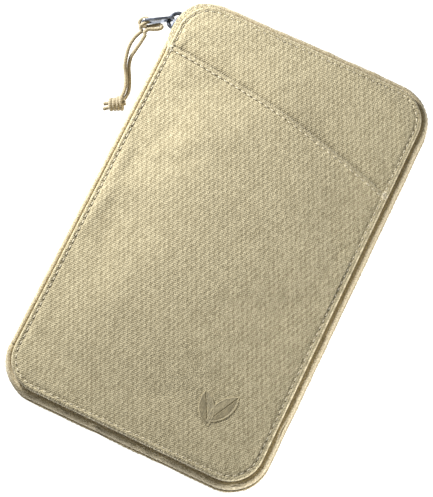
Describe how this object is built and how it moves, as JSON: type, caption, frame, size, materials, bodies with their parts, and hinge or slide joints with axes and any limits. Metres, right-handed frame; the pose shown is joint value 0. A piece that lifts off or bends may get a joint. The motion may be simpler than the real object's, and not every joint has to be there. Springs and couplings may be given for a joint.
{
  "type": "travel wallet",
  "caption": "Flat rectangular fabric travel wallet with rounded corners, a zip round three sides, a slanted slip pocket on the front and a cord zip puller.",
  "frame": {"origin": "centre of the back panel's flat underside, which the wallet rests on", "axes": "+X towards the right side seen from the front, +Y towards the top edge, +Z out of the front face"},
  "size_m": [0.1485, 0.21, 0.02],
  "materials": {
    "cloth": "coarse two-tone sand weave",
    "webbing": "fine melange plain weave",
    "lining": "smooth nylon lining",
    "board": "stiff foam board",
    "foil": "satin foil",
    "zip": "woven tape and nylon coil",
    "metal": "blue-grey brushed",
    "cord": "braided cord",
    "thread": "sewing thread"
  },
  "bodies": {
    "back_half": {"back_panel": "cloth", "back_board": "board", "rfid_foil_back": "foil", "back_lining": "lining", "passport_sleeve": "lining", "card_pocket_1": "lining", "card_pocket_2": "lining", "card_pocket_3": "lining", "card_pocket_4": "lining", "side_wall_back": "webbing", "zip_tape_back": "zip", "zip_coil_back": "zip", "spine_back": "webbing", "zip_stop_top": "metal", "zip_stop_back": "metal"},
    "front_half": {"front_panel": "cloth", "pocket_panel": "cloth", "pocket_hem": "cloth", "bar_tack_left": "thread", "bar_tack_right": "thread", "front_board": "board", "rfid_foil_front": "foil", "front_lining": "lining", "side_wall_front": "webbing", "zip_tape_front": "zip", "zip_coil_front": "zip", "spine_front": "webbing", "zip_stop_front": "metal", "coin_pocket": "lining", "coin_zip_tape_lower": "zip", "coin_zip_tape_upper": "zip", "coin_zip_coil_lower": "zip", "coin_zip_coil_upper": "zip"},
    "slider": {"slider_body": "metal", "slider_bail": "metal"},
    "pull_tab": {"pull_tab": "metal", "cord_strand_a": "cord", "cord_strand_b": "cord", "cord_knot": "cord"},
    "coin_slider": {"coin_slider": "metal", "coin_slider_bail": "metal"},
    "coin_pull_tab": {"coin_pull_tab": "metal"}
  },
  "joints": [
    {"name": "cover_fold", "type": "hinge", "parent": "back_half", "child": "front_half", "pos_m": [-0.0663, 0, 0.01], "axis": [0, -1, 0], "range_deg": [0, 90]},
    {"name": "slider_travel", "type": "hinge", "parent": "back_half", "child": "slider", "pos_m": [-0.0465, 0.0857, 0.01], "axis": [0, 0, 1], "range_deg": [-60, 0]},
    {"name": "pull_tab_swing", "type": "hinge", "parent": "slider", "child": "pull_tab", "pos_m": [-0.06825, 0.09148, 0.01], "axis": [0, 0, 1], "range_deg": [-110, 5]},
    {"name": "coin_slider_travel", "type": "slide", "parent": "front_half", "child": "coin_slider", "axis": [1, 0, 0], "range_m": [0, 0.089]},
    {"name": "coin_tab_swing", "type": "hinge", "parent": "coin_slider", "child": "coin_pull_tab", "pos_m": [-0.045, 0.062, 0.0116], "axis": [0, 1, 0], "range_deg": [0, 40]}
  ]
}
